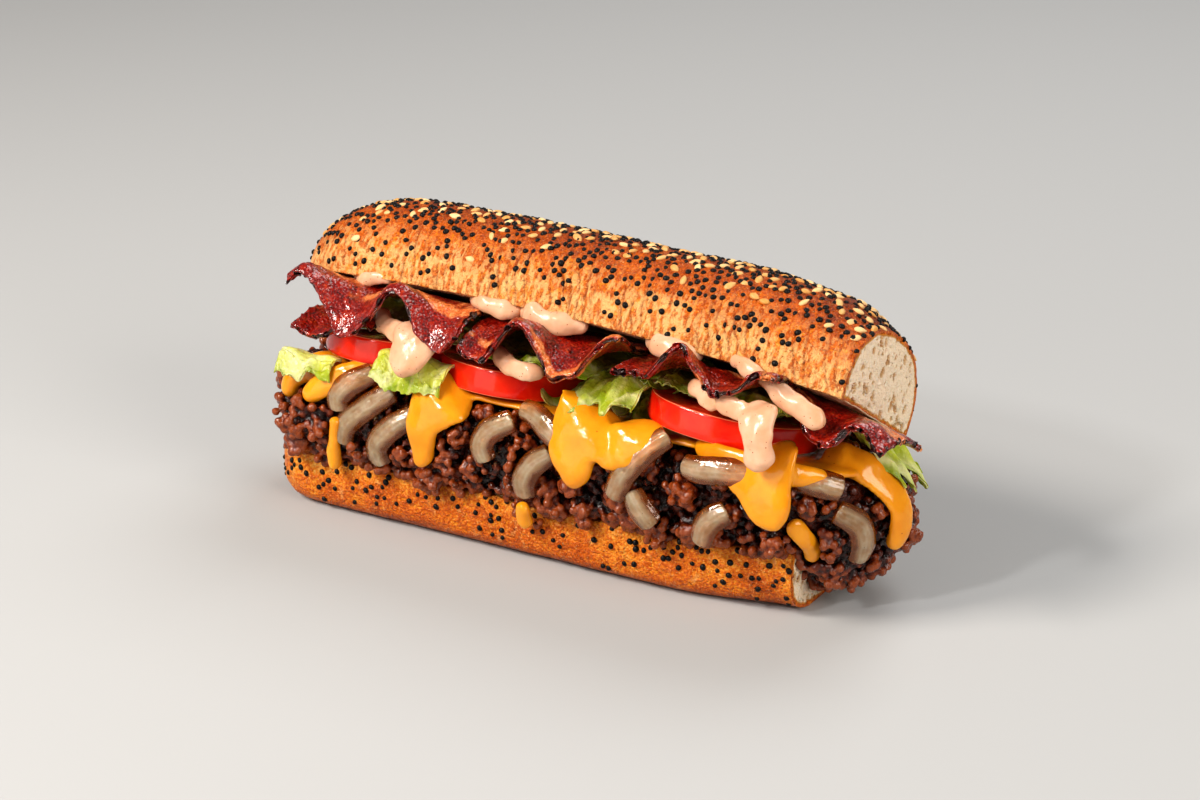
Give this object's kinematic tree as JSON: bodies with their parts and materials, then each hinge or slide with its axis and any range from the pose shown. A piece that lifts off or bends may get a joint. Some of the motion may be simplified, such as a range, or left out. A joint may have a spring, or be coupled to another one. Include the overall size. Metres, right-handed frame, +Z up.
{
  "type": "submarine sandwich",
  "caption": "Submarine sandwich cut square at one end, its seeded crown leaning back over crumbled beef, onions, melted cheese, tomato, lettuce, bacon and mayonnaise",
  "frame": {"origin": "middle of the underside of the bounding box, on the table under the lower bread", "axes": "+X along the loaf from the round end to the cut end, the open mouth faces -Y, +Z up"},
  "size_m": [0.226, 0.0836, 0.1005],
  "materials": {
    "crust": "baked golden brown crust with seeds, satin",
    "beef": "browned crumbled beef, moist",
    "onion": "fried onion, glossy and slightly see-through",
    "cheese": "melted cheese sauce, glossy",
    "tomato": "ripe tomato, glossy skin",
    "lettuce": "fresh lettuce, satin",
    "bacon": "fried bacon, glossy",
    "sauce": "smooth mayonnaise, glossy"
  },
  "bodies": {
    "root": {"bread_bottom": "crust", "bread_top": "crust", "tomato_1": "tomato", "tomato_2": "tomato", "tomato_3": "tomato", "tomato_4": "tomato", "onion_1": "onion", "onion_2": "onion", "onion_3": "onion", "onion_4": "onion", "onion_5": "onion", "onion_6": "onion", "onion_7": "onion", "onion_8": "onion", "onion_9": "onion", "onion_10": "onion", "onion_11": "onion", "onion_12": "onion", "onion_back_1": "onion", "onion_back_2": "onion", "onion_back_3": "onion", "bacon_1": "bacon", "bacon_2": "bacon", "bacon_3": "bacon", "bacon_4": "bacon", "bacon_5": "bacon", "bacon_back": "bacon", "cheese_sauce": "cheese", "cheese_drip_1": "cheese", "cheese_drip_2": "cheese", "cheese_drip_3": "cheese", "lettuce_left": "lettuce", "lettuce_1": "lettuce", "lettuce_2": "lettuce", "lettuce_3": "lettuce", "lettuce_4": "lettuce", "lettuce_end": "lettuce", "lettuce_back_1": "lettuce", "lettuce_back_2": "lettuce", "sauce_1": "sauce", "sauce_2": "sauce", "sauce_3": "sauce", "sauce_4": "sauce", "sauce_5": "sauce", "sauce_6": "sauce", "sauce_7": "sauce", "sauce_8": "sauce", "beef": "beef"}
  },
  "joints": []
}
